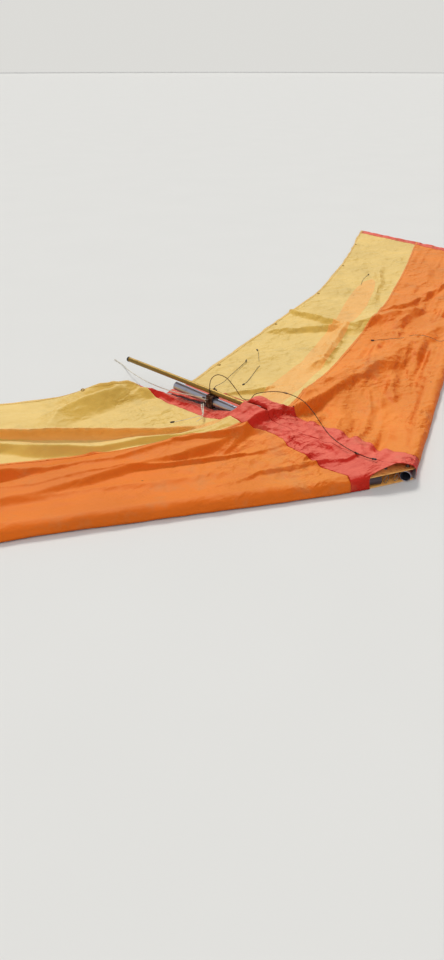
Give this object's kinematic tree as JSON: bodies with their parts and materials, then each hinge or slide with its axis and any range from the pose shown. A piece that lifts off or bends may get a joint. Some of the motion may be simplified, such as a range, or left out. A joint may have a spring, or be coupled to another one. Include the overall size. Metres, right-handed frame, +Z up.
{
  "type": "hang glider",
  "caption": "Weight-shift ultralight glider laid flat on its belly: tube frame with folding leading edges, crossbars and kingpost, under a slack striped sail.",
  "frame": {"origin": "middle of the glider's footprint, on the floor, without its slack wires", "axes": "+Z up, +Y aft along the keel tube, +X to the pilot's left, nose towards -Y"},
  "size_m": [8.264, 4.051, 0.2484],
  "materials": {
    "anodised_silver": "satin anodised",
    "anodised_gold": "gold anodised, satin",
    "steel_fitting": "dull, weathered",
    "black_plastic": "matte",
    "webbing": "woven",
    "sail_red": "crinkled sailcloth",
    "sail_orange": "crinkled sailcloth",
    "sail_yellow": "crinkled sailcloth",
    "wire_rusty": "rusted",
    "wire_dark": "dull",
    "wire_pale": "plastic-covered wire"
  },
  "bodies": {
    "root": {"keel_tube": "anodised_silver", "nose_plate_bottom": "anodised_gold", "nose_plate_top": "anodised_gold", "crossbar_bracket": "steel_fitting", "rear_bracket": "steel_fitting", "red_panel_left": "sail_red", "orange_panel_left": "sail_orange", "yellow_panel_left": "sail_yellow", "tip_hem_left": "sail_red", "red_panel_right": "sail_red", "orange_panel_right": "sail_orange", "yellow_panel_right": "sail_yellow", "tip_hem_right": "sail_red", "front_stay": "wire_rusty", "left_stay": "wire_dark", "right_stay": "wire_pale", "tail_stay": "wire_pale"},
    "leading_edge_left": {"leading_edge_front_left": "anodised_silver", "leading_edge_rear_left": "anodised_silver", "tip_cap_left": "black_plastic", "junction_bracket_left": "steel_fitting", "pocket_left": "sail_orange"},
    "leading_edge_right": {"leading_edge_front_right": "anodised_silver", "leading_edge_rear_right": "anodised_silver", "tip_cap_right": "black_plastic", "junction_bracket_right": "steel_fitting", "pocket_right": "sail_orange"},
    "crossbar_left": {"crossbar_tube_left": "anodised_silver", "crossbar_tip_left": "steel_fitting", "downtube_left": "anodised_silver", "strap_1_left": "webbing", "strap_2_left": "webbing"},
    "crossbar_right": {"crossbar_tube_right": "anodised_silver", "crossbar_tip_right": "steel_fitting", "downtube_right": "anodised_silver", "base_bar": "anodised_silver", "strap_1_right": "webbing", "strap_2_right": "webbing"},
    "kingpost": {"kingpost_foot": "black_plastic", "kingpost_tube": "anodised_gold", "kingpost_head": "black_plastic"}
  },
  "joints": [
    {"name": "wing_fold_left", "type": "hinge", "parent": "root", "child": "leading_edge_left", "pos_m": [-0.26801, -1.98024, 0.03], "axis": [0, 0, 1], "range_deg": [0, 63], "deforming": ["red_panel_left", "orange_panel_left", "yellow_panel_left", "tip_hem_left", "front_stay", "left_stay", "right_stay", "tail_stay"]},
    {"name": "wing_fold_right", "type": "hinge", "parent": "root", "child": "leading_edge_right", "pos_m": [-0.43577, -1.89104, 0.03], "axis": [0, 0, -1], "range_deg": [0, 47], "deforming": ["red_panel_right", "orange_panel_right", "yellow_panel_right", "tip_hem_right", "front_stay", "left_stay", "right_stay", "tail_stay"]},
    {"name": "crossbar_swing_left", "type": "hinge", "parent": "root", "child": "crossbar_left", "pos_m": [-0.28189, -1.18964, 0.044], "axis": [0, 0, 1], "range_deg": [0, 86.03], "deforming": ["red_panel_left", "orange_panel_left", "yellow_panel_left", "tip_hem_left", "front_stay", "left_stay", "right_stay", "tail_stay"]},
    {"name": "crossbar_swing_right", "type": "hinge", "parent": "root", "child": "crossbar_right", "pos_m": [-0.42189, -1.18964, 0.044], "axis": [0, 0, -1], "range_deg": [0, 67.17], "deforming": ["red_panel_right", "orange_panel_right", "yellow_panel_right", "tip_hem_right", "front_stay", "left_stay", "right_stay", "tail_stay"]},
    {"name": "kingpost_raise", "type": "hinge", "parent": "root", "child": "kingpost", "pos_m": [-0.35189, -1.16964, 0.12], "axis": [1, 0, 0], "range_deg": [0, 95], "deforming": ["red_panel_left", "red_panel_right", "front_stay", "left_stay", "right_stay", "tail_stay"]}
  ],
  "couplings": [
    {"joint": "crossbar_swing_left", "follows": "wing_fold_left", "ratio": 1.364},
    {"joint": "crossbar_swing_right", "follows": "wing_fold_right", "ratio": 1.427}
  ]
}
